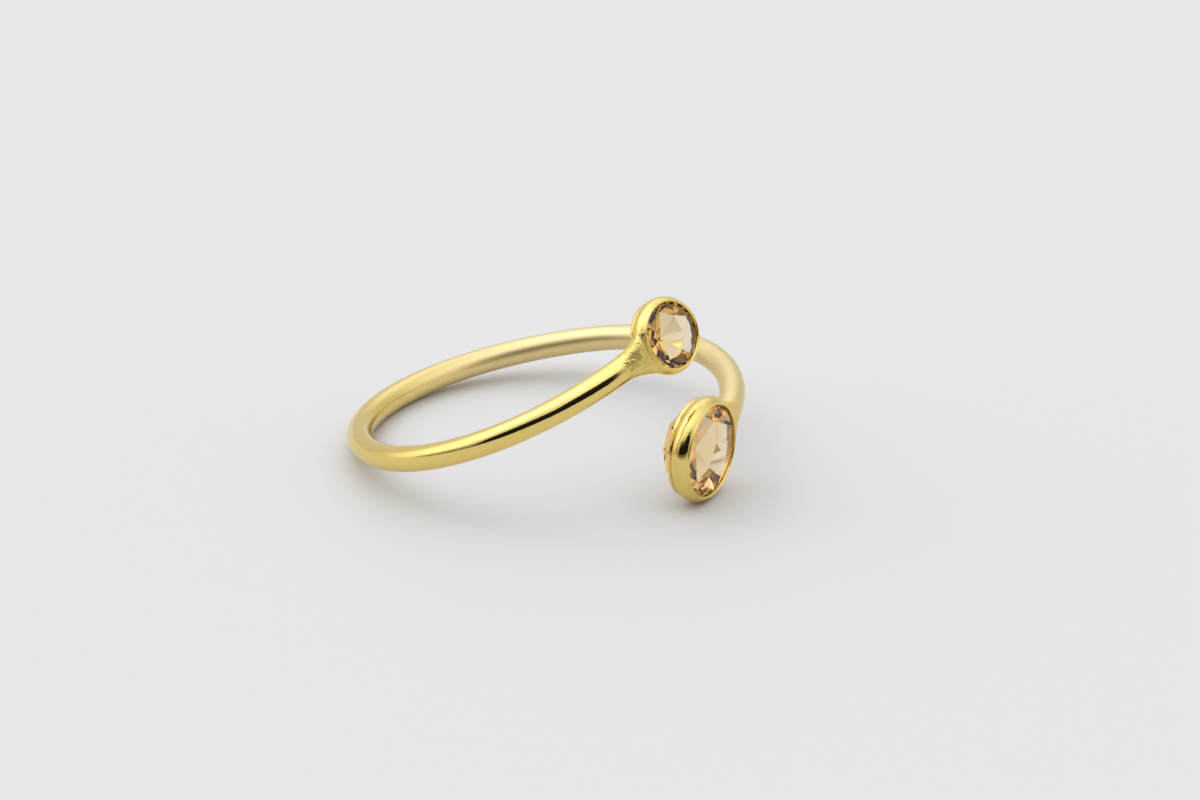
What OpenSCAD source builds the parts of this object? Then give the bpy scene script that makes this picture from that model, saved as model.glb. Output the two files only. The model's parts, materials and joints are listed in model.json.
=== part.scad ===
// Open bypass ring of round gold wire, with a round stone in a closed setting on each end.
// The ring is shaped lying level about its own centre, and is then laid on the surface as it rests.
// Angles round the ring run from +X towards +Y. "Outward" is away from the finger.

/* [Band] */
// Diameter of the wire
wire_d = 1.2; // [1:0.1:1.4]
// Radius of the round back of the band, to the middle of the wire
loop_r = 8.75; // [8:0.25:9.5]

/* [Upper arm] */
// Place on the loop where the upper arm leaves it
upper_start = 199; // [190:1:205]
// Slope at which the upper arm rises out of the loop
upper_rise = 17; // [10:0.5:20]
// Bending radius of the upper arm
upper_arm_r = 8.9; // [8.5:0.1:9.5]
// Angle that the upper arm runs through, up to its stone
upper_sweep = 114.5; // [105:0.5:120]

/* [Lower arm] */
// Place on the loop where the lower arm leaves it
lower_start = 72.5; // [65:0.5:80]
// Slope at which the lower arm drops out of the loop
lower_drop = 10.5; // [8:0.5:16]
// Bending radius of the lower arm
lower_arm_r = 8.55; // [8.2:0.05:9]
// Angle that the lower arm runs through, up to its stone
lower_sweep = 114.5; // [105:0.5:118]

/* [Stones] */
// Diameter of the small stone
small_stone_d = 3.12; // [2.9:0.02:3.3]
// Diameter of the large stone
large_stone_d = 4.38; // [4.1:0.02:4.6]
// Width of the table as a share of the stone's diameter
table_share = 0.91; // [0.84:0.01:0.93]
// Slope of the crown below the table
crown_angle = 36; // [30:1:42]
// Thickness of the girdle as a share of the stone's diameter
girdle_share = 0.02; // [0.01:0.005:0.03]
// Slope of the steep upper part of the small stone's pavilion
small_steep = 58; // [54:1:62]
// Slope of the shallow lower part of the small stone's pavilion
small_shallow = 28; // [22:1:30]
// Slope of the steep upper part of the large stone's pavilion
large_steep = 66.5; // [61:0.5:68]
// Slope of the shallow lower part of the large stone's pavilion
large_shallow = 22; // [17:1:26]
// Width of the pavilion's break as a share of the stone's diameter
break_share = 0.71; // [0.65:0.01:0.76]
// Turn of the small stone in its setting
small_stone_turn = 22; // [0:1:45]
// Turn of the large stone in its setting
large_stone_turn = 23; // [0:1:45]

/* [Settings] */
// Height of the small setting, from its lip to its open back
small_setting_h = 1; // [0.9:0.05:1.3]
// Height of the large setting, from its lip to its open back
large_setting_h = 1.1; // [1:0.05:1.4]
// Width by which the lip covers the stone's edge
lip_cover = 0.06; // [0.04:0.01:0.1]
// Thickness of the lip
lip_t = 0.14; // [0.12:0.01:0.18]
// Step of the wall outside the lip
lip_step = 0.02; // [0.01:0.01:0.04]
// Swell of the small setting's wall outside the lip, halfway down
small_swell = 0.14; // [0.08:0.01:0.18]
// Swell of the large setting's wall outside the lip, halfway down
large_swell = 0.21; // [0.12:0.01:0.25]
// Height of the plain foot band at the back of the small setting
small_foot_h = 0.2; // [0.15:0.05:0.4]
// Height of the plain foot band at the back of the large setting
large_foot_h = 0.3; // [0.15:0.05:0.4]
// Step of the foot band outside the lip
foot_step = 0.04; // [0.03:0.01:0.06]
// Depth of the stone's table below the lip
table_recess = 0.08; // [0.06:0.01:0.12]
// Gap between a stone and its seat
seat_gap = 0.03; // [0.02:0.01:0.05]
// Width of the seat that a stone's edge rests on
seat_w = 0.2; // [0.14:0.01:0.22]
// Height of the small setting's lip above the middle of the wire
small_lift = 0.85; // [0.7:0.01:0.9]
// Height of the large setting's lip above the middle of the wire
large_lift = 0.75; // [0.65:0.01:0.85]
// Lean of the small setting towards the ring's upper side
small_pitch = 3; // [-5:0.5:5]
// Lean of the large setting towards the ring's upper side
large_pitch = -9; // [-10:0.5:0]
// Turn of the large setting away from its arm
large_yaw = 6.5; // [0:0.5:10]

/* [Solder] */
// Half angle at which the solder flares from the wire to the small setting
small_flare = 30; // [27:1:40]
// Half angle at which the solder flares from the wire to the large setting
large_flare = 38; // [32:1:45]

/* [Rest] */
// Place on the loop that touches the surface, below the ring's balance point
rest_turn = 145; // [130:1:155]
// Turn of the resting ring about the vertical
facing = 4; // [-20:0.5:20]

/* [Hidden] */
$fn = 48;
gold = [0.84, 0.68, 0.30];
champagne = [0.93, 0.80, 0.60, 0.7];
wire_r = wire_d / 2;

// The two arms with what they carry, the upper one first. The upper arm runs on round the ring and
// rises, and the lower one runs back and drops.
UPPER = 0;
LOWER = 1;
way = [1, -1];
start = [upper_start, lower_start];
slope = [upper_rise, -lower_drop];
arm_r = [upper_arm_r, lower_arm_r];
sweep = [upper_sweep, lower_sweep];
stone_r = [small_stone_d / 2, large_stone_d / 2];
stone_turn = [small_stone_turn, large_stone_turn];
setting_h = [small_setting_h, large_setting_h];
foot_h = [small_foot_h, large_foot_h];
lift = [small_lift, large_lift];
pitch = [small_pitch, large_pitch];
steep = [small_steep, large_steep];
shallow = [small_shallow, large_shallow];
yaw = [0, large_yaw];
flare = [small_flare, large_flare];
swell = [small_swell, large_swell];

// The wire's bent stretches stop this angle short of each other, and a ball that is this much
// larger than the wire bridges them
ball_angle = 0.3;
ball_proud = 0.01;
// How deep the narrow end of a solder flare starts inside the wire
flare_sunk = 0.05;
// How deep a wire end is set into a setting's wall
end_depth = 0.2;
// Height of the lip's upright inside face, below its round
lip_face = 0.02;

// Radii of a setting, from its opening to the widest place of its wall
open_r = [for (r = stone_r) r - lip_cover];
lip_r = [for (r = open_r) r + lip_t];
wall_r = lip_r + swell;
foot_r = [for (r = lip_r) r + foot_step];
// Height of the swelled wall, between the round of the lip and the foot band
wall_h = [for (i = [UPPER, LOWER]) setting_h[i] - foot_h[i] - lip_t / 2];

// Heights of a stone's crown, girdle and two pavilion steps, for a radius of 1
crown_h = (1 - table_share) * tan(crown_angle);
girdle_h = 2 * girdle_share;
steep_h = [for (a = steep) (1 - break_share) * tan(a)];
shallow_h = [for (a = shallow) break_share * tan(a)];

// Turns of a point about an axis
function turn_z(p, a) = [p.x * cos(a) - p.y * sin(a), p.x * sin(a) + p.y * cos(a), p.z];
function turn_y(p, a) = [p.x * cos(a) + p.z * sin(a), p.y, p.z * cos(a) - p.x * sin(a)];

// A point on the middle line of an arm, t degrees after it leaves the loop
function arm_point(i, t) =
    let (bend = [arm_r[i] * (cos(t) - 1), way[i] * arm_r[i] * sin(t), 0])
    turn_z([loop_r, 0, 0] + turn_y(bend, slope[i]), start[i]);
// The direction in which the setting on an arm faces
function setting_axis(i) =
    let (leaning = turn_z(turn_y([1, 0, 0], -pitch[i]), way[i] * sweep[i] + yaw[i]))
    turn_z(turn_y(leaning, slope[i]), start[i]);

// Rims that the ring's outline is measured on: centre, axis and radius, this far below the lip
function rim(i, below, r) =
    [arm_point(i, sweep[i]) + setting_axis(i) * (lift[i] - below), setting_axis(i), r];
function rims(i) = [
    rim(i, lip_t / 2, lip_r[i]),
    rim(i, lip_t / 2 + wall_h[i] / 2, wall_r[i]),
    rim(i, setting_h[i], foot_r[i])
];
// How far a rim reaches in a direction
function rim_reach(q, d) = q[0] * d + q[2] * norm(cross(q[1], d));

// The up direction of the ring when it leans by this angle, and how far its parts reach down then
function up(lean) = [-sin(lean) * cos(rest_turn), -sin(lean) * sin(rest_turn), cos(lean)];
function wire_depth(lean) = loop_r * sin(lean) + wire_r;
function setting_depth(lean) = max([for (q = rims(LOWER)) rim_reach(q, -up(lean))]);
// The lean at which the loop and the lower setting both touch the surface, found by halving
function settle(low, high, n) =
    let (mid = (low + high) / 2)
    n == 0 ? mid
    : wire_depth(mid) < setting_depth(mid) ? settle(mid, high, n - 1)
    : settle(low, mid, n - 1);
rest_lean = settle(0, 30, 20);

// A direction of the resting ring, as it lies in the ring's own frame
function to_ring(d) = turn_z(turn_y(turn_z(turn_z(d, -facing), -rest_turn), -rest_lean), rest_turn);
middle_line = concat(
    [for (a = [lower_start:upper_start]) turn_z([loop_r, 0, 0], a)],
    [for (i = [UPPER, LOWER], t = [0:sweep[i]]) arm_point(i, t)]
);
// How far the whole ring reaches in a direction
function reach(d) = max(
    max([for (p = middle_line) p * d]) + wire_r,
    max([for (q = concat(rims(UPPER), rims(LOWER))) rim_reach(q, d)])
);
// The middle of the resting ring's outline along an axis of the surface
function middle(axis) = (reach(to_ring(axis)) - reach(-to_ring(axis))) / 2;

// Lays the ring on the surface, over its own centre
module at_rest() {
    translate([-middle([1, 0, 0]), -middle([0, 1, 0]), wire_depth(rest_lean)])
        rotate([0, 0, facing + rest_turn])
        rotate([0, rest_lean, 0])
        rotate([0, 0, -rest_turn])
        children();
}

// Places things t degrees along an arm: X faces outward, Y runs round the ring
module at_arm(i, t) {
    rotate([0, 0, start[i]])
        translate([loop_r, 0, 0])
        rotate([0, slope[i], 0])
        translate([-arm_r[i], 0, 0])
        rotate([0, 0, way[i] * t])
        translate([arm_r[i], 0, 0])
        children();
}

// Places a setting or a stone, with its lip at height 0 and its axis up
module at_setting(i) {
    at_arm(i, sweep[i])
        rotate([0, -pitch[i], yaw[i]])
        translate([lift[i], 0, 0])
        rotate([0, 90, 0])
        children();
}

// Angle of an arm over this straight distance from the axis of its setting
function arm_angle(i, distance) = 2 * asin(distance / (2 * arm_r[i]));

// A bent stretch of the wire, between two angles from the +X axis
module wire_arc(r, from, to) {
    rotate_extrude(start = from, angle = to - from) translate([r, 0]) circle(r = wire_r);
}

// The wire of an arm, from the ball at its start to inside the wall of its setting
module arm_wire(i) {
    end = sweep[i] - arm_angle(i, wall_r[i] - end_depth);
    at_arm(i, 0) translate([-arm_r[i], 0, 0])
        wire_arc(arm_r[i], min(way[i] * ball_angle, way[i] * end), max(way[i] * ball_angle, way[i] * end));
}

// The whole wire: its round back, its arms and the balls that join them
module wire() {
    wire_arc(loop_r, lower_start + ball_angle, upper_start - ball_angle);
    for (i = [UPPER, LOWER]) {
        arm_wire(i);
        at_arm(i, 0) sphere(r = wire_r + ball_proud);
    }
}

// Outer form of a setting: rounded lip, swelled wall and plain foot band
module setting_outer(i) {
    proud = swell[i] - lip_step;
    swell_r = (pow(wall_h[i] / 2, 2) + proud * proud) / (2 * proud);
    foot_top = foot_h[i] - setting_h[i];
    rotate_extrude() {
        translate([lip_r[i] - lip_t / 2, -lip_t / 2]) intersection() {
            circle(r = lip_t / 2);
            translate([-lip_t, 0]) square(lip_t * 2);
        }
        intersection() {
            translate([0, foot_top]) square([wall_r[i], wall_h[i]]);
            translate([wall_r[i] - swell_r, foot_top + wall_h[i] / 2]) circle(r = swell_r, $fn = 96);
        }
        translate([0, -setting_h[i]]) square([foot_r[i], foot_h[i]]);
    }
}

// Space inside a setting: the opening, the pocket under the lip, the sloping seat and the bore
// behind it, which is open to the back
module setting_inner(i) {
    table_r = stone_r[i] * table_share;
    pocket_r = stone_r[i] + seat_gap;
    bore_r = pocket_r - seat_w;
    // The space over the crown keeps this far above it
    over = 2 * seat_gap - table_recess;
    under_lip = over - (open_r[i] - table_r) * tan(crown_angle);
    girdle_z = -table_recess - stone_r[i] * (crown_h + girdle_h);
    past = 1;
    rotate_extrude() polygon([
        [0, past],
        [open_r[i], past],
        [open_r[i], min(under_lip, -lip_t / 2 - lip_face)],
        [pocket_r, over - (pocket_r - table_r) * tan(crown_angle)],
        [pocket_r, girdle_z],
        [bore_r, girdle_z - seat_w * tan(steep[i])],
        [bore_r, -setting_h[i] - past],
        [0, -setting_h[i] - past]
    ]);
}

// Solder that flares from the wire to a setting: a cone that meets the wall without a corner and
// starts inside the wire, kept between the lip and the open back
module solder(i) {
    near = lip_r[i] * sin(flare[i]);
    wide_r = lip_r[i] * cos(flare[i]);
    narrow_r = wire_r - flare_sunk;
    length = (wide_r - narrow_r) / tan(flare[i]);
    intersection() {
        at_arm(i, sweep[i] - arm_angle(i, near + length / 2))
            rotate([-90 * way[i], 0, 0])
            cylinder(h = length, r1 = narrow_r, r2 = wide_r, center = true);
        at_setting(i) translate([0, 0, -setting_h[i]])
            cylinder(h = setting_h[i] - lip_t / 2, r = 2 * wall_r[i]);
    }
}

module band() {
    color(gold) at_rest() difference() {
        union() {
            wire();
            for (i = [UPPER, LOWER]) {
                at_setting(i) setting_outer(i);
                solder(i);
            }
        }
        for (i = [UPPER, LOWER]) at_setting(i) setting_inner(i);
    }
}

// Corners in a level ring round a stone's axis
function corners(n, r, z) =
    [for (k = [0:n - 1]) [r * cos(k * 360 / n), r * sin(k * 360 / n), z]];

// A round stone with a plain bevel of sixteen facets for its crown and an eight-fold pavilion, its
// girdle radius 1 and its table at height 0. Its corners lie in rings, and each ring's name holds
// the number of its first corner.
module cut_stone(i) {
    girdle_z = -crown_h - girdle_h;
    break_z = girdle_z - steep_h[i];
    points = concat(
        corners(16, table_share, 0),
        corners(16, 1, -crown_h),
        corners(16, 1, girdle_z),
        corners(8, break_share, break_z),
        [[0, 0, break_z - shallow_h[i]]]
    );
    table = 0;
    top = 16;
    low = 32;
    break = 48;
    culet = 56;
    sixteen = [0:15];
    eight = [0:7];
    faces = concat(
        [[for (k = [15:-1:0]) table + k]],
        [for (k = sixteen) [table + k, table + (k + 1) % 16, top + (k + 1) % 16, top + k]],
        [for (k = sixteen) [top + k, top + (k + 1) % 16, low + (k + 1) % 16, low + k]],
        [for (k = eight) [break + k, low + 2 * k, low + 2 * k + 1]],
        [for (k = eight) [break + (k + 1) % 8, low + 2 * k + 1, low + (2 * k + 2) % 16]],
        [for (k = eight) [break + k, low + 2 * k + 1, break + (k + 1) % 8]],
        [for (k = eight) [break + k, break + (k + 1) % 8, culet]]
    );
    polyhedron(points, faces, convexity = 2);
}

module set_stone(i) {
    color(champagne) at_rest() at_setting(i)
        translate([0, 0, -table_recess])
        rotate([0, 0, stone_turn[i]])
        scale(stone_r[i]) cut_stone(i);
}
module small_stone() { set_stone(UPPER); }
module large_stone() { set_stone(LOWER); }

band();
small_stone();
large_stone();
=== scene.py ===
# %% [markdown]
# # A gold wire ring with two set stones
# The object is an open finger ring. One round wire is bent into a loop whose ends pass each
# other, and each end carries a round stone in a closed setting: a cup of metal whose rim is
# pressed over the stone's edge. The ring lies on a pale surface, leaning on its larger setting.
#
# A polished metal shows nothing but its surroundings, so half of this lesson is about clean
# curved surfaces, and the other half is about what stands around the ring for them to mirror.

# %% The frame, and the box that the looks have to stay in
import json
import math

import bpy
import numpy as np
from mathutils import Matrix, Quaternion, Vector, noise


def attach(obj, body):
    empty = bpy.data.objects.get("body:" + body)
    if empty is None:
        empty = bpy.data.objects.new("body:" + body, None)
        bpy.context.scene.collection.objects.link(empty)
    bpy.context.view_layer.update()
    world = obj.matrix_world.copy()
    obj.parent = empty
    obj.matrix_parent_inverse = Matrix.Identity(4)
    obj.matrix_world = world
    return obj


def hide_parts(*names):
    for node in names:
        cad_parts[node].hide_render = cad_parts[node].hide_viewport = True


MM = 0.001
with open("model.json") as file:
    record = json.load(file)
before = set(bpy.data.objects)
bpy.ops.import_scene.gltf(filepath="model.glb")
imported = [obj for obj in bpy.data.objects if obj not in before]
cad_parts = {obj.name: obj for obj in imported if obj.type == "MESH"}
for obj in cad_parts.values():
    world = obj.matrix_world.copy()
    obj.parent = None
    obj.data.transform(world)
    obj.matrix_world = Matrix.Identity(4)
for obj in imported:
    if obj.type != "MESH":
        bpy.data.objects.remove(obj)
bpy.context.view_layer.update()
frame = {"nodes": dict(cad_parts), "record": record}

# %% [markdown]
# ## Where the ring lies
# A jeweller measures a ring round the finger's axis, so its shape is easiest to write in a
# frame of its own: Z along the finger, and angles round it. The record says where the middle
# of the finger hole is and which way the finger points. An axis leaves one turn about itself
# free, and FACING settles it. Everything is measured in millimetres here and turned
# into the frame's metres in one place, to_row.

# %% The ring's own frame
FACING = 4


def turned(axis, degrees):
    """A 4 by 4 rotation matrix about one axis."""
    return np.array(Matrix.Rotation(math.radians(degrees), 4, axis))


def shifted(x=0.0, y=0.0, z=0.0):
    """A 4 by 4 matrix that moves by this much."""
    return np.array(Matrix.Translation((x, y, z)))


finger = next(m for m in frame["record"]["mounts"] if m["name"] == "finger")
lean = math.degrees(math.acos(finger["axis"][2]))
lean_way = math.degrees(math.atan2(finger["axis"][1], finger["axis"][0]))
RING = (
    shifted(*(np.array(finger["pos_m"]) / MM))
    @ turned("Z", lean_way) @ turned("Y", lean) @ turned("Z", FACING - lean_way)
)


def moved(place, points):
    """Points after a 4 by 4 matrix."""
    return np.asarray(points) @ place[:3, :3].T + place[:3, 3]


def to_row(points):
    """Points of the ring's own frame, in millimetres, as they lie in the row's frame, in metres."""
    return moved(RING, points) * MM


print("the ring leans by", round(lean, 2), "degrees towards", round(lean_way, 1))

# %% [markdown]
# ## The run of the wire
# The wire is three arcs that follow each other without a corner: a round back, and an arm at
# each end. Each arm's plane is tipped about the wire itself where it leaves the back, so one
# arm climbs and the other drops. An arm is described as a bender would note it: where it
# starts, how far it is tipped, its bending radius and how far it sweeps.

# %% The arms
WIRE_R = 0.6
LOOP_R = 8.75
ARMS = {
    "small": {"way": 1, "start": 199, "tip": 17, "bend_r": 8.9, "sweep": 114.5},
    "large": {"way": -1, "start": 72.5, "tip": -10.5, "bend_r": 8.55, "sweep": 114.5},
}


def along_arm(arm, degrees):
    """The place on an arm's middle line: X faces outward and Y runs round the ring."""
    return (
        turned("Z", arm["start"]) @ shifted(LOOP_R) @ turned("Y", arm["tip"])
        @ shifted(-arm["bend_r"]) @ turned("Z", arm["way"] * degrees) @ shifted(arm["bend_r"])
    )


back_length = math.radians(ARMS["small"]["start"] - ARMS["large"]["start"]) * LOOP_R
arm_length = sum(math.radians(arm["sweep"]) * arm["bend_r"] for arm in ARMS.values())
print("wire length in mm:", round(back_length + arm_length, 1))

# %% [markdown]
# ## Sizes of the settings
# A setting is made to its stone, so the stone's radius is measured on its own solid in the
# frame, and the metal's sizes are small margins round it. The setting's place follows from the
# end of its arm. Its own Z runs out along the stone's axis and is 0 at the top of the lip.

# %% The settings' places and sizes
LIP_COVER = 0.06
LIP_T = 0.14
LIP_FACE = 0.02
FOOT_STEP = 0.04
# Corners of a stone that differ by less than this count as equally wide, or equally high.
SAME_WIDTH, SAME_HEIGHT = 0.015, 0.005
SETTINGS = {
    "small": {"height": 1.0, "foot": 0.17, "swell": 0.14, "lift": 0.85, "lean": 3, "yaw": 0},
    "large": {"height": 1.1, "foot": 0.22, "swell": 0.21, "lift": 0.75, "lean": -9, "yaw": 6.5},
}


def measure_stone(name):
    """Radii and heights of a stone's table and girdle, in its setting's frame."""
    corners = np.array([v.co for v in frame["nodes"][name + "_stone"].data.vertices]) / MM
    local = moved(np.linalg.inv(RING @ SETTINGS[name]["place"]), corners)
    r, z = np.hypot(local[:, 0], local[:, 1]), local[:, 2]
    girdle = z[r > r.max() - SAME_WIDTH]
    return {
        "radius": r.max(), "table_r": r[z > z.max() - SAME_HEIGHT].max(), "table_z": z.max(),
        "crown_z": girdle.max(), "girdle_z": girdle.min(), "corners": np.stack([r, z], axis=1),
    }


for name, setting in SETTINGS.items():
    arm = ARMS[name]
    setting["place"] = (
        along_arm(arm, arm["sweep"]) @ turned("Z", setting["yaw"]) @ turned("Y", -setting["lean"])
        @ shifted(setting["lift"]) @ turned("Y", 90)
    )
    setting["stone"] = measure_stone(name)
    setting["lip_r"] = setting["stone"]["radius"] - LIP_COVER + LIP_T
    setting["wall_r"] = setting["lip_r"] + setting["swell"]
    print(name, "stone and wall radius:", round(setting["stone"]["radius"], 2), round(setting["wall_r"], 2))

# %% [markdown]
# ## Skins from rings of points
# A wire and a turned cup are both rings of points joined into a skin, the first along its
# length and the second round its axis. A curve object with a bevel could make the wire, but
# not the flare of solder that grows out of it, so the rings are worked out one by one and joined
# by one helper. It also stores marks on the points, such as how much solder covers the metal
# there, for the finish to read later.

# %% From rings of points to a piece
SHARP_ANGLE = 50


def skin_faces(rings, sides, wrap):
    """Faces that join each ring to the next, and the last to the first where wrap is true."""
    faces = []
    for i in range(rings if wrap else rings - 1):
        for j in range(sides):
            k, after = (j + 1) % sides, (i + 1) % rings
            faces.append((i * sides + j, i * sides + k, after * sides + k, after * sides + j))
    return faces


def make_piece(name, points, faces, marks):
    """A mesh object from points in the ring's frame, smooth but for its sharp edges."""
    mesh = bpy.data.meshes.new(name)
    mesh.from_pydata([tuple(p) for p in to_row(points)], [], faces)
    mesh.validate()
    for mark, values in marks.items():
        attribute = mesh.attributes.new(mark, "FLOAT", "POINT")
        attribute.data.foreach_set("value", np.asarray(values, np.float32).ravel())
    mesh.shade_smooth()
    mesh.set_sharp_from_angle(angle=math.radians(SHARP_ANGLE))
    piece = bpy.data.objects.new(name, mesh)
    bpy.context.scene.collection.objects.link(piece)
    print(name, len(mesh.vertices), "points,", len(mesh.polygons), "faces")
    return piece


print("helpers ready; edges sharper than", SHARP_ANGLE, "degrees stay sharp")

# %% [markdown]
# ## Solder
# At each end the wire was soldered to its setting with a torch. The solder ran into the
# corner and froze in a curve that leaves the wire straight and meets the wall flat, with a few
# lumps and pits in it. The joint is described by the place where the wire's middle line meets
# the wall, seen from the setting's axis as an angle and a height, and by how far the solder
# spread from there to the sides and up and down.

# %% The joints, and the lumps in the solder
JOINTS = {
    "small": {"gap": 0.85, "spread": 37, "top": -0.12, "bottom": -0.96},
    "large": {"gap": 0.8, "spread": 31, "top": -0.13, "bottom": -1.05},
}
SOLDER_FULL = 0.8
SOLDER_END = 1.35
LUMP_SIZE = 0.3
LUMP_HEIGHT = 0.028
NOISE_GAIN = 1.4


def eased(x):
    """From 0 to 1 with no corner at either end."""
    x = np.clip(x, 0, 1)
    return x * x * (3 - 2 * x)


def solder_cover(points, joint):
    """How much solder covers each point, from its distance to the middle of the joint."""
    distance = np.linalg.norm(points - joint["middle"], axis=-1)
    return 1 - eased((distance - SOLDER_FULL) / (SOLDER_END - SOLDER_FULL))


def lumps(points, size):
    """Noise between about -1 and 1, the same wherever two skins meet."""
    values = [noise.noise(Vector(p / size)) * NOISE_GAIN for p in points.reshape(-1, 3)]
    return np.array(values).reshape(points.shape[:-1])


def wall_radius(setting, z):
    """Radius of a setting's swelled wall at a height."""
    low, high, swell = setting["foot"] - setting["height"], -LIP_T / 2, setting["swell"]
    bow_r = (((high - low) / 2) ** 2 + swell**2) / (2 * swell)
    return setting["wall_r"] - bow_r + np.sqrt(np.maximum(bow_r**2 - (z - (low + high) / 2) ** 2, 0))


for name, joint in JOINTS.items():
    arm, setting = ARMS[name], SETTINGS[name]
    reach = setting["wall_r"] + joint["gap"]
    joint["end"] = arm["sweep"] - math.degrees(2 * math.asin(reach / (2 * arm["bend_r"])))
    inward = np.linalg.inv(setting["place"])
    start = moved(inward, along_arm(arm, joint["end"])[:3, 3])
    joint["toward"] = math.atan2(start[1], start[0])
    height = (joint["top"] + joint["bottom"]) / 2
    r = wall_radius(setting, height)
    joint["middle"] = moved(
        setting["place"], [r * math.cos(joint["toward"]), r * math.sin(joint["toward"]), height]
    )
    print(name, "joint: the solder starts", round(joint["end"], 1), "degrees along the arm")

# %% [markdown]
# ## The wire, with solder running into its ends
# Each ring of the wire has the same sides, so the flare is made side by side: a curve starts on
# the wire, goes on in the wire's direction, and bends over until it lies flat on the setting's
# wall. Such a curve with a known start, end and direction at both is a Hermite curve. The last
# rings sink just under the wall's surface and close there, out of sight.

# %% The wire's middle line
RING_STEP = 0.12


def middle_line():
    """The wire's middle line, from the small setting's solder to the large one's."""
    line = []
    for name, order in (("small", -1), ("large", 1)):
        arm, end = ARMS[name], JOINTS[name]["end"]
        count = round(math.radians(end) * arm["bend_r"] / RING_STEP)
        stretch = [along_arm(arm, end * i / count)[:3, 3] for i in range(count + 1)]
        line.append(stretch[::order])
    start, end = ARMS["small"]["start"], ARMS["large"]["start"]
    count = round(back_length / RING_STEP)
    angles = np.radians(np.linspace(start, end, count + 1))[1:-1]
    back = [np.array([LOOP_R * math.cos(a), LOOP_R * math.sin(a), 0]) for a in angles]
    return np.array(line[0] + back + line[1])


def ring_axes(line):
    """Two directions across the wire at each point of its line, the first as near to up as can be."""
    along = np.gradient(line, axis=0)
    along /= np.linalg.norm(along, axis=1)[:, None]
    up = np.array([0, 0, 1]) - along[:, 2:] * along
    up /= np.linalg.norm(up, axis=1)[:, None]
    return along, up, np.cross(along, up)


line = middle_line()
along, up, side = ring_axes(line)
print("places along the middle line:", len(line))

# %% A flare of solder
FLARE_RINGS = 26
FLARE_SQUARE = 2.5
ARRIVE_IN, ARRIVE_UP = 0.2, 0.15
SWELL_RISE = 4
SUNK = 0.05
SUNK_SHARES = (0.98, 0.66, 0.33)


def flare(name, start, away, along):
    """Rings from the wire's end to the wall of a setting. away holds the direction of each side."""
    setting, joint = SETTINGS[name], JOINTS[name]
    place = setting["place"]
    # The wire's sides, seen from the setting, are spread over a squared oval on its wall.
    local = away @ place[:3, :3]
    c, s = math.cos(joint["toward"]), math.sin(joint["toward"])
    sideways = local @ np.array([-s, c, 0])
    upward = local[:, 2]
    size = np.hypot(sideways, upward)
    sideways, upward = (np.sign(v) * np.abs(v / size) ** (2 / FLARE_SQUARE) for v in (sideways, upward))
    middle_z, half = (joint["top"] + joint["bottom"]) / 2, (joint["top"] - joint["bottom"]) / 2

    def on_wall(share, depth):
        """The squared oval where the solder meets the wall, shrunk to a share and sunk by a depth."""
        angle = joint["toward"] + math.radians(joint["spread"]) * sideways * share
        z = middle_z + half * upward * share
        r = wall_radius(setting, z) - depth
        return angle, moved(place, np.stack([r * np.cos(angle), r * np.sin(angle), z], axis=1))

    angle, landing = on_wall(1, 0)
    # At its sides the solder arrives along the wall. Above and below, it arrives more steeply.
    across = np.stack([-np.sin(angle), np.cos(angle), 0 * angle], axis=1) * sideways[:, None]
    inward = -np.stack([np.cos(angle), np.sin(angle), 0 * angle], axis=1)
    upright = np.abs(upward)[:, None]
    steep = ARRIVE_IN + (1 - ARRIVE_IN) * upright
    arrive = across + inward * steep + np.array([0, 0, ARRIVE_UP]) * upward[:, None]
    arrive = (arrive / np.linalg.norm(arrive, axis=1)[:, None]) @ place[:3, :3].T
    first = start + away * WIRE_R
    length = np.linalg.norm(landing - first, axis=1)[:, None]
    rings = []
    for u in np.linspace(0, 1, FLARE_RINGS + 1)[1:]:
        curve = (
            (2 * u**3 - 3 * u**2 + 1) * first + (u**3 - 2 * u**2 + u) * length * along
            + (3 * u**2 - 2 * u**3) * landing + (u**3 - u**2) * length * arrive
        )
        swell = LUMP_HEIGHT * eased(u * SWELL_RISE) * eased((1 - u) * SWELL_RISE)
        rings.append(curve + away * (swell * lumps(curve, LUMP_SIZE))[:, None])
    return rings + [on_wall(share, SUNK)[1] for share in SUNK_SHARES]


print("rings in a flare:", FLARE_RINGS + len(SUNK_SHARES))

# %% The wire
SIDES = 72
WEAR_MIDDLE, WEAR_FULL, WEAR_FADE = 50, 48, 68

angles = np.linspace(0, 2 * math.pi, SIDES, endpoint=False)
away = np.cos(angles)[None, :, None] * up[:, None] + np.sin(angles)[None, :, None] * side[:, None]
wire_rings = list(line[:, None] + WIRE_R * away)
rings = (
    flare("small", line[0], away[0], -along[0])[::-1] + wire_rings
    + flare("large", line[-1], away[-1], along[-1])
)
points = np.concatenate(rings)
faces = skin_faces(len(rings), SIDES, wrap=False)
faces += [tuple(range(SIDES))[::-1], tuple(range(len(points) - SIDES, len(points)))]
cover = np.maximum(*(solder_cover(points, joint) for joint in JOINTS.values()))
round_ring = np.degrees(np.arctan2(points[:, 1], points[:, 0]))
off_middle = np.abs((round_ring - WEAR_MIDDLE + 180) % 360 - 180)
wear = 1 - eased((off_middle - WEAR_FULL) / WEAR_FADE)
wire = make_piece("wire", points, faces, {"solder": cover, "wear": wear})

# %% [markdown]
# ## The settings
# A closed setting has the same outline all the way round, so it is a ring of outlines.
# From the back, the outline climbs a plain foot band, a wall that swells like a barrel, a fine
# crease and the lip, which is rounded where it was pressed over the stone. Inside, it comes
# down over the stone's edge and along the sloping seat. Real ones are finished by hand, so the
# foot's crease slants a little and the lip wavers by a few hundredths of a millimetre.

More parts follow.
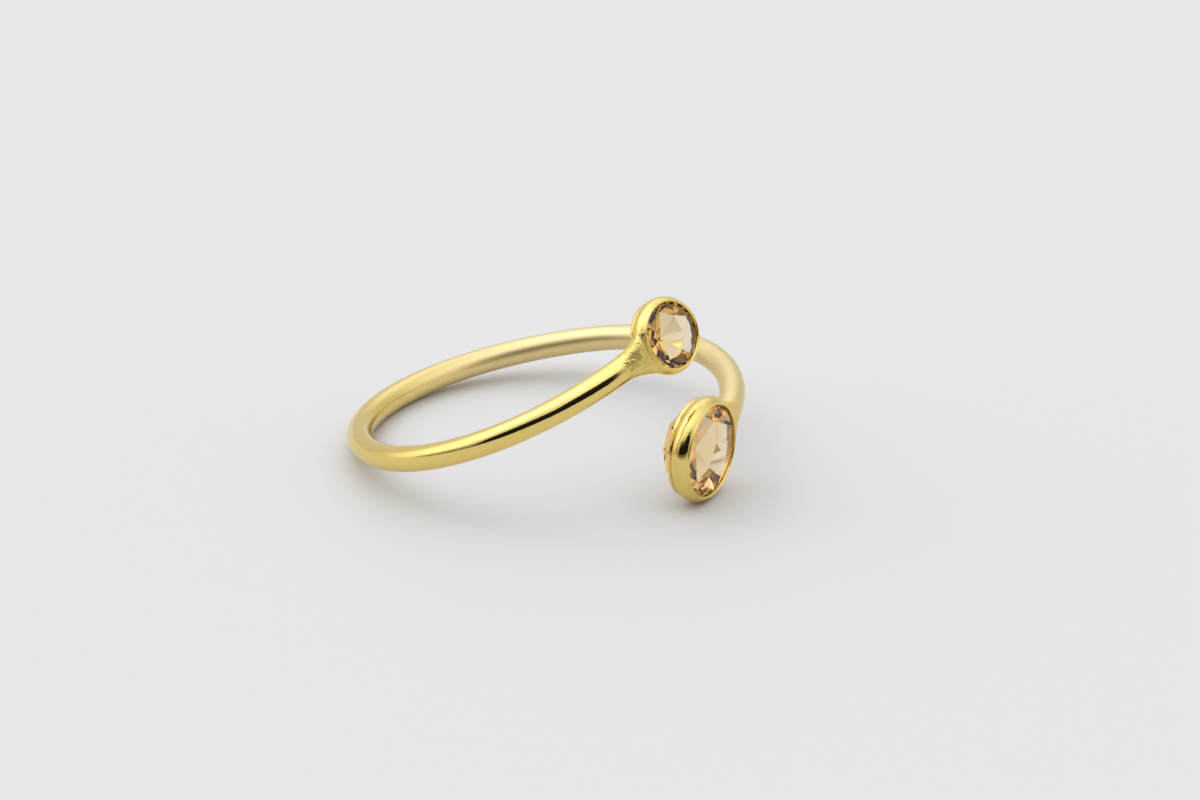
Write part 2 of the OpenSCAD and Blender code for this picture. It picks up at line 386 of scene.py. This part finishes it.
# %% The outline of a setting
ROUND_STEPS, WALL_STEPS = 5, 22
CREASE = 0.004
LIP_START = 8
EDGE_R = 0.02
SEAT_GAP = 0.03
SEAT_W = 0.2


def arc(centre, r, start, end, count):
    """Points on an arc in the plane of the outline: radius and height."""
    angles = np.radians(np.linspace(start, end, count))
    return [(centre[0] + r * math.cos(a), centre[1] + r * math.sin(a)) for a in angles]


def pavilion_slope(stone):
    """How steeply a stone falls away below its girdle, as depth over width."""
    below = stone["corners"][stone["corners"][:, 1] < stone["girdle_z"] - SAME_HEIGHT]
    r, z = below[below[:, 0].argmax()]
    return (stone["girdle_z"] - z) / (stone["radius"] - r)


def outline(setting, foot):
    """The closed outline of a setting whose foot band has this height."""
    stone, lip_r, h = setting["stone"], setting["lip_r"], setting["height"]
    foot_r, foot_top = lip_r + FOOT_STEP, foot - h
    open_r, pocket_r = lip_r - LIP_T, stone["radius"] + SEAT_GAP
    bore_r = pocket_r - SEAT_W
    crown_slope = (stone["table_z"] - stone["crown_z"]) / (stone["radius"] - stone["table_r"])
    under_lip = stone["crown_z"] + (2 - crown_slope) * SEAT_GAP
    wall_z = np.linspace(foot_top + EDGE_R, -LIP_T / 2 - EDGE_R, WALL_STEPS)
    bow = dict(setting, foot=foot)
    line = arc((foot_r - EDGE_R, EDGE_R - h), EDGE_R, -90, 0, ROUND_STEPS)
    line += arc((foot_r - EDGE_R, foot_top - EDGE_R), EDGE_R, 0, 90, ROUND_STEPS)
    line += [(lip_r + CREASE, foot_top + CREASE / 2)]
    line += [(float(wall_radius(bow, z)), z) for z in wall_z]
    line += [(lip_r - CREASE, -LIP_T / 2 - CREASE)]
    line += arc((lip_r - LIP_T / 2, -LIP_T / 2), LIP_T / 2, LIP_START, 180, 3 * ROUND_STEPS)
    line += [(open_r, -LIP_T / 2 - CREASE), (open_r, -LIP_T / 2 - LIP_FACE)]
    line += [(pocket_r, under_lip), (pocket_r, stone["girdle_z"])]
    line += [(bore_r, stone["girdle_z"] - SEAT_W * pavilion_slope(stone))]
    line += arc((bore_r + EDGE_R, EDGE_R - h), EDGE_R, 180, 270, ROUND_STEPS)
    return np.array(line)


# Last in an outline come five corners of the lip's face, the pocket and the seat, and the bore's edge.
INSIDE_POINTS = 5 + ROUND_STEPS
print("points in an outline:", len(outline(SETTINGS["small"], SETTINGS["small"]["foot"])))

# %% The settings
TURN_STEPS = 160
LIP_WAVER, LIP_WAVES = 0.012, 1.6
WALL_WAVER, WALL_WAVES = 0.005, 1.3
ELSEWHERE = 7.0
FOOT_SLANT = {"small": 0.03, "large": 0.08}
FOOT_LOW = {"small": 200, "large": 250}
# How far the inside of each setting is roughened, and darkened with painted shade.
INSIDE_ROUGH_AND_PAINTED_SHADE = {"small": 1, "large": 0.25}


def turn_setting(name):
    """A setting, turned from its outline, with the slips of handwork."""
    setting, joint = SETTINGS[name], JOINTS[name]
    rings = []
    for angle in np.linspace(0, 2 * math.pi, TURN_STEPS, endpoint=False):
        slant = FOOT_SLANT[name] * math.cos(angle - math.radians(FOOT_LOW[name]))
        turned_line = outline(setting, setting["foot"] - slant)
        r, z = turned_line[:, 0], turned_line[:, 1]
        rings.append(np.stack([r * math.cos(angle), r * math.sin(angle), z], axis=1))
    rings = np.array(rings)
    out = rings * np.array([1, 1, 0])
    out /= np.linalg.norm(out, axis=2)[:, :, None]
    at_lip = eased((rings[:, :, 2] + 2 * LIP_T) / LIP_T)
    waver = lumps(rings, WALL_WAVES) * (WALL_WAVER + (LIP_WAVER - WALL_WAVER) * at_lip)
    rings = rings + out * waver[:, :, None]
    # Metal that is pressed down sinks, so the lip is below its outline here and there, never above.
    rings[:, :, 2] += LIP_WAVER * at_lip * (lumps(rings + ELSEWHERE, LIP_WAVES) - 1) * 0.5
    points = moved(setting["place"], rings)
    cover = solder_cover(points, joint)
    outer = (rings[:, :, 2] < -LIP_T / 2) & (np.hypot(rings[:, :, 0], rings[:, :, 1]) > setting["lip_r"])
    bump = LUMP_HEIGHT * cover * (0.5 + lumps(points, LUMP_SIZE)) * outer
    points = points + (out @ setting["place"][:3, :3].T) * bump[:, :, None]
    # The inside mark roughens the metal there and darkens its colour with painted shade.
    inside = np.broadcast_to(np.arange(rings.shape[1]) >= rings.shape[1] - INSIDE_POINTS, cover.shape)
    marks = {"solder": cover, "tumbled": np.ones_like(cover), "inside": inside * INSIDE_ROUGH_AND_PAINTED_SHADE[name]}
    faces = [face[::-1] for face in skin_faces(TURN_STEPS, rings.shape[1], wrap=True)]
    return make_piece(name + "_setting", points.reshape(-1, 3), faces, marks)


settings = [turn_setting(name) for name in SETTINGS]

# %% [markdown]
# ## Handing the pieces over
# The wire and the settings are skins over one solid, the band. They ride on the row's only
# body, take the place of the solid in the picture, and share one material slot.

# %% Riding, and standing for the band
for piece in [wire, *settings]:
    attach(piece, "root")
    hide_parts("band")
print("pieces that stand for the band:", [piece.name for piece in [wire, *settings]])

# %% [markdown]
# ## Writing shader maths
# A finish is a net of nodes, and sums in a net are easier to read as Python. Link wraps the
# output of a node and adds a Math node for each sum. Finish makes every other node: it takes
# the node's type, its settings and its inputs. A link knows its finish, so a helper that is
# given a link can add nodes to the same net.

# %% A small language for finishes
class Link:
    """The output of a node, on which Python sums can be written."""

    def __init__(self, finish, socket):
        self.finish, self.socket = finish, socket

    def __add__(self, other):
        return self.finish.sum("ADD", self, other)

    def __sub__(self, other):
        return self.finish.sum("SUBTRACT", self, other)

    def __rsub__(self, other):
        return self.finish.sum("SUBTRACT", other, self)

    def __mul__(self, other):
        return self.finish.sum("MULTIPLY", self, other)

    def __pow__(self, other):
        return self.finish.sum("POWER", self, other)

    def __abs__(self):
        return self.finish.sum("ABSOLUTE", self)

    __radd__, __rmul__ = __add__, __mul__


class Finish:
    """A node tree, with one method for every kind of node."""

    def __init__(self, tree):
        self.tree = tree
        tree.nodes.clear()

    def node(self, kind, settings=None, inputs=None, output=0):
        """A new node, with its settings made first. It gives a link to one of its outputs."""
        node = self.tree.nodes.new(kind)
        for name, value in (settings or {}).items():
            setattr(node, name, value)
        for key, value in (inputs or {}).items():
            if isinstance(value, Link):
                self.tree.links.new(value.socket, node.inputs[key])
            else:
                node.inputs[key].default_value = value
        return Link(self, node.outputs[output]) if node.outputs else node

    def sum(self, operation, a, b=0.0):
        """A Math node of any operation on numbers or links."""
        return self.node("ShaderNodeMath", {"operation": operation}, {0: a, 1: b})


def new_material(name):
    """An empty material, and the Finish that fills it."""
    material = bpy.data.materials.new(name)
    material.use_nodes = True
    return material, Finish(material.node_tree)


print("node helpers ready")

# %% [markdown]
# ## Gold
# The metal is polished where a buffing wheel reached. Solder freezes with a fine grain and
# small pits, which the wheel only softens. The settings were finished by tumbling, so they are
# a little less even than the drawn wire. The back of the band lies in the palm, so it is worn
# to a satin. Inside a setting nobody polishes, so the metal stays rough and dull there. Its colour
# there is also painted dark brown, as painted shade of the recess under the lip and round the seat,
# and a stone shows that painted shade as brown. The marks on the points say where each of these
# holds. The relief is written as a height in millimetres, and a Bump node turns it into a tilt of
# the surface.

# %% Helpers for finishes
def millimetres(finish):
    """The place of a point on the object, in millimetres."""
    place = finish.node("ShaderNodeTexCoord", output="Object")
    return finish.node("ShaderNodeVectorMath", {"operation": "SCALE"}, {0: place, "Scale": 1 / MM})


def step_between(value, low, high):
    """0 where the value is below low, 1 where it is above high, eased between them."""
    ends = {"Value": value, "From Min": low, "From Max": high}
    return value.finish.node("ShaderNodeMapRange", {"interpolation_type": "SMOOTHSTEP"}, ends)


def cloud(place, scale, detail, stretch=(1, 1, 1)):
    """Soft noise around 0, with this many features to a millimetre."""
    at = place.finish.node("ShaderNodeVectorMath", {"operation": "MULTIPLY"}, {0: place, 1: stretch})
    look = {"Vector": at, "Scale": scale, "Detail": detail}
    return place.finish.node("ShaderNodeTexNoise", inputs=look) - 0.5


def blend(a, b, share):
    """A colour between two, by a share."""
    return share.finish.node("ShaderNodeMix", {"data_type": "RGBA"}, {0: share, 6: a, 7: b}, output=2)


print("helpers ready; patterns are measured in millimetres, and MM is", MM)

# %% Gold
GOLD = (0.83, 0.635, 0.2, 1)
SOLDER_GOLD = (0.8, 0.62, 0.19, 1)
# A dark brown painted inside the settings: painted shade of the recess under the lip and round the seat.
INSIDE_PAINTED_SHADE = (0.26, 0.14, 0.04, 1)
WORN_GOLD = (0.78, 0.63, 0.3, 1)
# Each pattern has a number to the millimetre and a fineness. Scratches are also drawn out.
GRAIN, PITS, WAVES, SPECKLE = (9, 3), (3.2, 1), (1.3, 1), (16, 2)
SCRATCHES = (9, 2, (1, 0.15, 1))
GRAIN_H, PIT_H, WAVE_H, SCRATCH_H = 0.045, 0.15, 0.004, 0.0008
SPECKLE_H, TUMBLED_H = 0.0015, 0.005
PIT_START = 0.12
POLISHED, SOLDER_ROUGH, WORN_ROUGH, INSIDE_ROUGH, SCRATCH_ROUGH = 0.06, 0.29, 0.32, 0.35, 0.06
gold, f = new_material("polished_gold")
place = millimetres(f)
solder, tumbled, inside, worn = (
    f.node("ShaderNodeAttribute", {"attribute_name": mark}, output="Fac")
    for mark in ("solder", "tumbled", "inside", "wear")
)
grain = cloud(place, *GRAIN)
pits = f.sum("MAXIMUM", cloud(place, *PITS) - PIT_START, 0)
waves = cloud(place, *WAVES)
scratches = cloud(place, *SCRATCHES)
speckle = cloud(place, *SPECKLE)
relief = solder * (grain * GRAIN_H - pits * PIT_H) + waves * WAVE_H + scratches * SCRATCH_H
relief = relief + speckle * (SPECKLE_H + TUMBLED_H * tumbled)
tilt = f.node("ShaderNodeBump", inputs={"Distance": MM, "Height": relief})
worn = worn * (1 - solder)
# The inside mark blends in the painted shade.
colour = blend(blend(blend(GOLD, WORN_GOLD, worn), SOLDER_GOLD, solder), INSIDE_PAINTED_SHADE, inside)
roughness = POLISHED + SOLDER_ROUGH * solder + WORN_ROUGH * worn + INSIDE_ROUGH * inside
roughness = roughness + SCRATCH_ROUGH * scratches
shader = f.node(
    "ShaderNodeBsdfPrincipled",
    inputs={"Base Color": colour, "Metallic": 1.0, "Roughness": roughness, "Normal": tilt},
)
f.node("ShaderNodeOutputMaterial", inputs={"Surface": shader})
for piece in [wire, *settings]:
    piece.data.materials.append(gold)
print("gold:", len(f.tree.nodes), "nodes")

# %% [markdown]
# ## The stones
# A coloured stone is clear all through, and takes its colour from the light bit by bit. A short
# way through it looks like straw, and a long way, with a few turns inside, looks like brown
# sugar. Absorption in the volume does just that, with a colour and a density. No two stones are
# quite the same, and the small one is a little deeper in tone. The surface is polished glass
# that bends light as quartz does. The solids' own facets are used as they are, because flat and
# exact facets are the whole of a cut. The large stone has one small dark speck.

# %% Stones
QUARTZ_BEND = 1.545
DENSITY = {"small_stone": 750, "large_stone": 480}
TINT = (0.96, 0.75, 0.2, 1)
CLEAR = (1, 1, 1, 1)
SPECK = (0.03, 0.02, 0.015, 1)
SPECK_AT, SPECK_R = (-1.62, 0.3), 0.08
SPECK_CORE = 0.4


def glass(finish):
    """Polished and clear. The colour comes from the depth behind it."""
    inputs = {"Base Color": CLEAR, "Transmission Weight": 1.0, "Roughness": 0.0, "IOR": QUARTZ_BEND}
    return finish.node("ShaderNodeBsdfPrincipled", inputs=inputs)


def specked(surface):
    """The surface with a small dull speck on the large stone's table."""
    finish, large = surface.finish, SETTINGS["large"]
    middle = to_row(moved(large["place"], (*SPECK_AT, large["stone"]["table_z"]))) / MM
    ends = {0: millimetres(finish), 1: tuple(middle)}
    away = finish.node("ShaderNodeVectorMath", {"operation": "DISTANCE"}, ends, output=1)
    dull = finish.node("ShaderNodeBsdfPrincipled", inputs={"Base Color": SPECK, "Roughness": 1.0})
    share = step_between(away, SPECK_CORE * SPECK_R, SPECK_R)
    return finish.node("ShaderNodeMixShader", inputs={0: share, 1: dull, 2: surface})


for name, density in DENSITY.items():
    crystal, f = new_material(name)
    surface = specked(glass(f)) if name == "large_stone" else glass(f)
    depth = f.node("ShaderNodeVolumeAbsorption", inputs={"Color": TINT, "Density": density})
    f.node("ShaderNodeOutputMaterial", inputs={"Surface": surface, "Volume": depth})
    node = frame["nodes"][name]
    node.data.materials.clear()
    node.data.materials.append(crystal)
    print(name, "absorbs with a density of", density)

# %% [markdown]
# ## The floor
# A small object needs a floor that is plain but not empty: a matt pale sheet catches its
# contact shadow and bounces light up into the undersides of the metal. It is far wider than the
# ring, so that its edges never show.

# %% Floor
FLOOR_HALF = 1.5
PAPER, PAPER_ROUGH = (0.657, 0.638, 0.606, 1), 0.7
mesh = bpy.data.meshes.new("floor")
corners = [(x * FLOOR_HALF, y * FLOOR_HALF, 0) for x, y in ((-1, -1), (1, -1), (1, 1), (-1, 1))]
mesh.from_pydata(corners, [], [(0, 1, 2, 3)])
floor = bpy.data.objects.new("floor", mesh)
bpy.context.scene.collection.objects.link(floor)
paper, f = new_material("pale_floor")
shader = f.node("ShaderNodeBsdfPrincipled", inputs={"Base Color": PAPER, "Roughness": PAPER_ROUGH})
f.node("ShaderNodeOutputMaterial", inputs={"Surface": shader})
mesh.materials.append(paper)
print("floor", 2 * FLOOR_HALF, "m wide")

# %% [markdown]
# ## The studio
# Polished metal has no look of its own, so a jeweller's photographer builds what it mirrors:
# a pale tent all round, brighter panels at the side and above for the long highlights, and dark
# screens in front: two black ones that overlap, and a low grey one at their left. The screens
# draw the dark line that makes a wire look round, and let it thin out where the wire turns away.
# Light that reaches the camera through a stone meets a greyer screen, because a black one makes
# the facets dull. The world is painted that way, from the compass angle and the height of each
# direction, with soft edges. It lights everything, and only the camera itself gets a plain pale
# surround instead.

# %% Directions of the studio
world = bpy.data.worlds.new("studio")
bpy.context.scene.world = world
world.use_nodes = True
f = Finish(world.node_tree)
direction = f.node("ShaderNodeTexCoord", output="Generated")
east, north, rise = (f.node("ShaderNodeSeparateXYZ", inputs={0: direction}, output=i) for i in range(3))
DEGREES = 180 / math.pi
compass = f.sum("ARCTAN2", east, north * -1) * DEGREES
height = f.sum("ARCSINE", rise) * DEGREES


def panel(at, wide, tall, soft, square=2):
    """A soft patch at a compass angle and height, 1 inside and 0 outside. Square 2 makes it oval."""
    across = abs(compass - at[0]) * (1 / wide)
    upward = abs(height - at[1]) * (1 / tall)
    return 1 - step_between((across**square + upward**square) ** (1 / square), 1 - soft, 1 + soft)


print("compass 0 is in front of the ring, and 90 to its right")

# %% The studio's light
TENT_LOW, TENT_RISE, RISE_FROM, RISE_TO = 0.72, 0.4, 15, 55
# A row holds a strength, the middle's compass angle and height, half the width, half the height
# and the softness of the edge. A screen's last number makes it more square.
PANELS = (
    (0.85, (-95, 40), 32, 34, 0.5),
    (0.6, (-105, 70), 70, 24, 0.6),
    (0.5, (20, 80), 80, 24, 0.6),
    (0.3, (-178, 38), 42, 20, 0.5),
    (0.3, (182, 38), 30, 20, 0.5),
    (0.2, (76, 20), 30, 34, 0.5),
)
SCREENS = (
    (1, (-3, 10), 50, 24, 0.12, 3),
    (1, (16, 24), 26, 18, 0.15, 3),
    (0.6, (-68, 4), 22, 10, 0.4, 2),
)
SCREEN_DARK, THROUGH_STONE = 0.98, 0.6
PALE = 0.8
WARM, COOL, COOL_FROM, COOL_TO = (1, 0.985, 0.95, 1), (0.97, 1, 1.08, 1), 0, 45
light = TENT_LOW + TENT_RISE * step_between(height, RISE_FROM, RISE_TO)
for strength, *patch in PANELS:
    light = light + strength * panel(*patch)
screen = 0.0
for strength, *patch in SCREENS:
    screen = f.sum("MAXIMUM", screen, strength * panel(*patch))
through = f.node("ShaderNodeLightPath", output="Is Transmission Ray")
light = light * (1 - screen * (SCREEN_DARK - THROUGH_STONE * through))
seen = f.node("ShaderNodeLightPath", output="Is Camera Ray")
strength = light + (PALE - light) * seen
daylight = blend(WARM, COOL, step_between(height, COOL_FROM, COOL_TO))
sky = f.node("ShaderNodeBackground", inputs={"Color": daylight, "Strength": strength})
f.node("ShaderNodeOutputWorld", inputs={"Surface": sky})
bpy.context.scene.view_settings.view_transform = "Standard"
print("studio:", len(PANELS), "bright panels,", len(SCREENS), "dark screens,", len(f.tree.nodes), "nodes")

# %% [markdown]
# ## The camera
# The ring is small, so the camera is close, a quarter of a metre away, and its long lens keeps the
# circles of the settings from being stretched. It looks down at the ring from the front.

# %% Camera
CAMERA_AZ, CAMERA_EL, CAMERA_ROLL = -0.19, 23.824, 0.626
CAMERA_PLACE = (1.752, -229.167, 103.788)
LENS, FILM_WIDTH, NEAREST = 162, 36, 10
camera = bpy.data.objects.new("camera", bpy.data.cameras.new("camera"))
bpy.context.scene.collection.objects.link(camera)
camera.data.lens = LENS
camera.data.sensor_width = FILM_WIDTH
camera.data.clip_start = NEAREST * MM
camera.location = Vector(CAMERA_PLACE) * MM
a, e = math.radians(CAMERA_AZ), math.radians(CAMERA_EL)
back = Vector((math.sin(a) * math.cos(e), -math.cos(a) * math.cos(e), math.sin(e)))
camera.rotation_mode = "QUATERNION"
roll = Quaternion((0, 0, 1), math.radians(CAMERA_ROLL))
camera.rotation_quaternion = (-back).to_track_quat("-Z", "Y") @ roll
bpy.context.scene.camera = camera
print("camera", round(camera.location.length / MM), "mm from the ring, lens", LENS, "mm")
